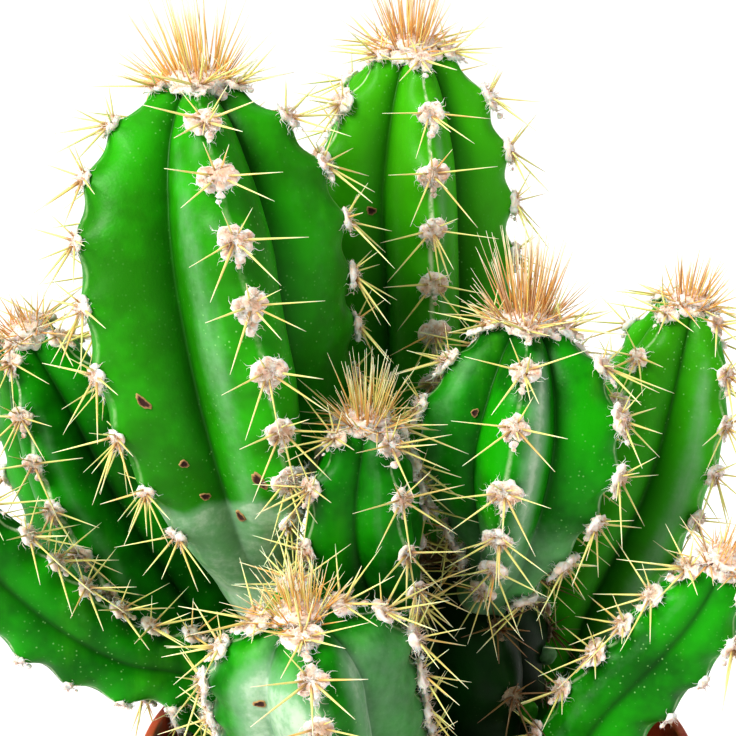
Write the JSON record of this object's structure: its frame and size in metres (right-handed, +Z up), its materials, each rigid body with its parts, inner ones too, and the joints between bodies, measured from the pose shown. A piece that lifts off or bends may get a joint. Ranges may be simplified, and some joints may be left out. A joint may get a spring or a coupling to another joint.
{
  "type": "potted columnar cactus",
  "caption": "Clump of thick ribbed columnar cactus stems with woolly areoles and stiff spines, growing in a round tapered pot with a rim band.",
  "frame": {"origin": "middle of the pot's flat underside, where it stands", "axes": "+Z up along the pot's axis, -Y towards the front of the plant, +X to its right"},
  "size_m": [0.1824, 0.1373, 0.2655],
  "materials": {
    "pot_plastic": "satin",
    "potting_mix": "matte",
    "stem_skin": "satin",
    "spine_horn": "satin",
    "areole_wool": "matte",
    "grit_stone": "matte"
  },
  "bodies": {
    "root": {"pot": "pot_plastic", "soil": "potting_mix", "stem_mother": "stem_skin", "stem_tall_left": "stem_skin", "stem_tall_back": "stem_skin", "stem_middle_right": "stem_skin", "stem_far_right": "stem_skin", "stem_small_centre": "stem_skin", "stem_small_front": "stem_skin", "stem_leaning_left": "stem_skin", "stem_low_left": "stem_skin", "stem_low_right": "stem_skin"}
  },
  "joints": []
}
